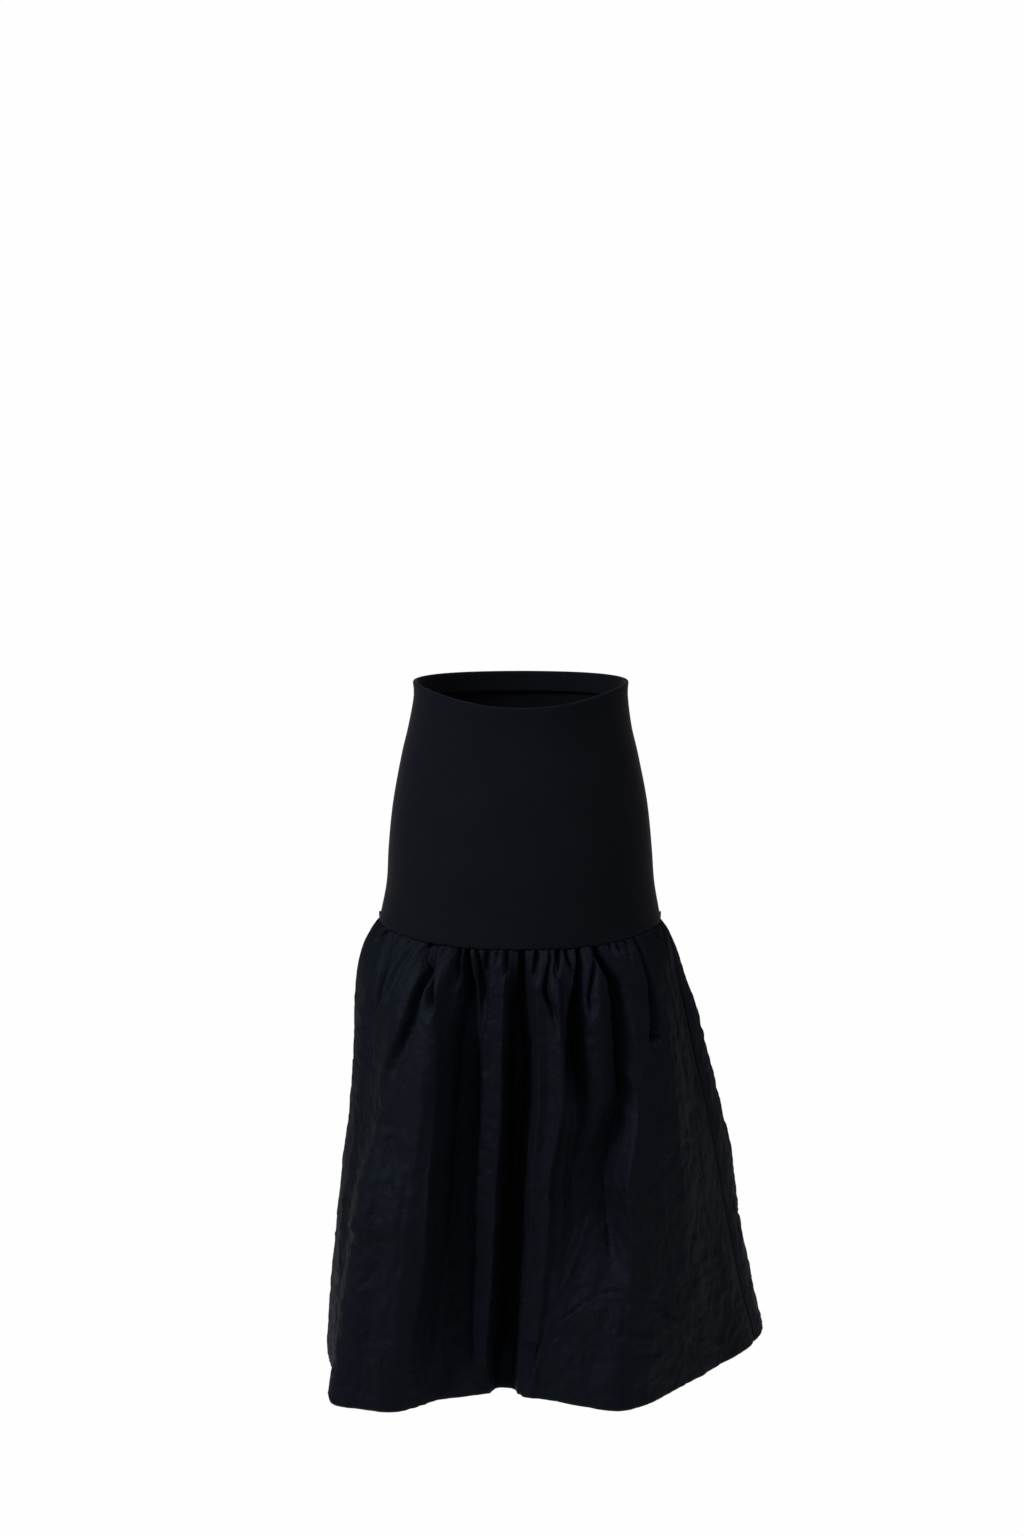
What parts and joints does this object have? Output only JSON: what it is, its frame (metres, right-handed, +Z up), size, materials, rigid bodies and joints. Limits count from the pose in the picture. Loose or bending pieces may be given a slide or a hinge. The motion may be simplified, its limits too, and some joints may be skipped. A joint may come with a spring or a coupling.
{
  "type": "balloon skirt",
  "caption": "Pull-on midi skirt: a deep close stretch yoke from waist to hip, and a full gathered woven skirt with a folded-under hem, in the form it has when worn.",
  "frame": {"origin": "middle of the waist opening, level with its edge at the sides, where the wearer's waist holds the skirt", "axes": "+Z up out of the waist, -Y towards the front, +X to the right as the front is seen"},
  "size_m": [0.5202, 0.4462, 0.8021],
  "materials": {
    "jersey": "matt brushed stretch jersey, near black",
    "taffeta": "crisp plain weave with a faint sheen, blue black"
  },
  "bodies": {
    "root": {"yoke_front": "jersey", "yoke_back": "jersey", "skirt_front": "taffeta", "skirt_back": "taffeta"}
  },
  "joints": []
}
